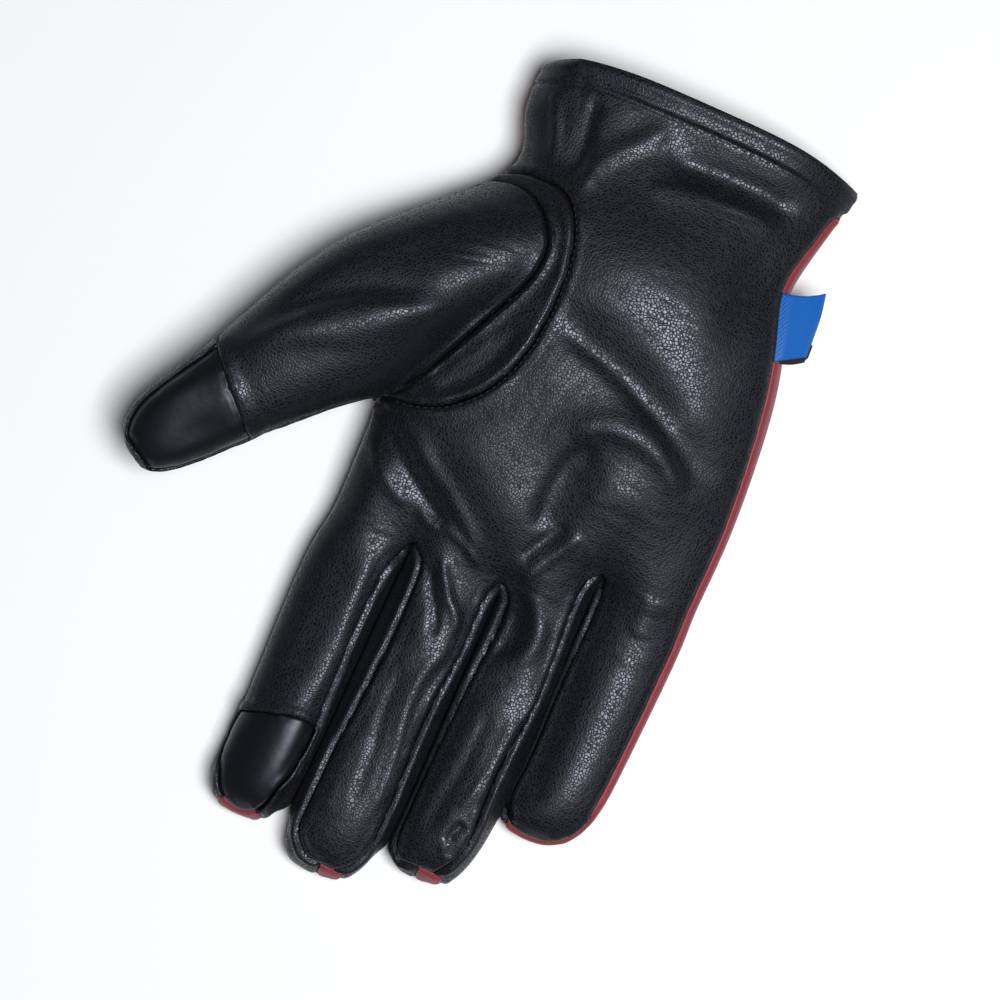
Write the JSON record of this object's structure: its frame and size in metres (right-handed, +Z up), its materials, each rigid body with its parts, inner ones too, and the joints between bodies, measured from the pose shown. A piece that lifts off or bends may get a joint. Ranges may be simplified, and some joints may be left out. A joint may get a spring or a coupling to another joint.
{
  "type": "leather glove",
  "caption": "Right-hand leather glove with a one-piece grained palm, contrasting back, finger gussets, set-in thumb, smooth touchscreen tips, turned cuff hem and a ribbon loop in the side seam.",
  "frame": {"origin": "on the resting surface, under the middle of the palm, on the flat of the glove's back", "axes": "+Y along the hand towards the wrist opening, +Z up out of the palm, -X towards the thumb"},
  "size_m": [0.1755, 0.2504, 0.0431],
  "materials": {
    "grain_leather": "pebble grain, semi-matt",
    "red_leather": "fine grain, semi-matt",
    "smooth_leather": "smooth, satin",
    "ribbon": "woven ribbon"
  },
  "bodies": {
    "root": {"palm_panel": "grain_leather", "back_panel": "red_leather", "fourchette_index_middle": "grain_leather", "fourchette_middle_ring": "grain_leather", "fourchette_ring_little": "grain_leather", "thumb_keystone": "grain_leather", "thumb_front": "grain_leather", "thumb_back": "grain_leather", "index_touch_patch": "smooth_leather", "thumb_touch_patch": "smooth_leather", "side_tag": "ribbon"}
  },
  "joints": []
}
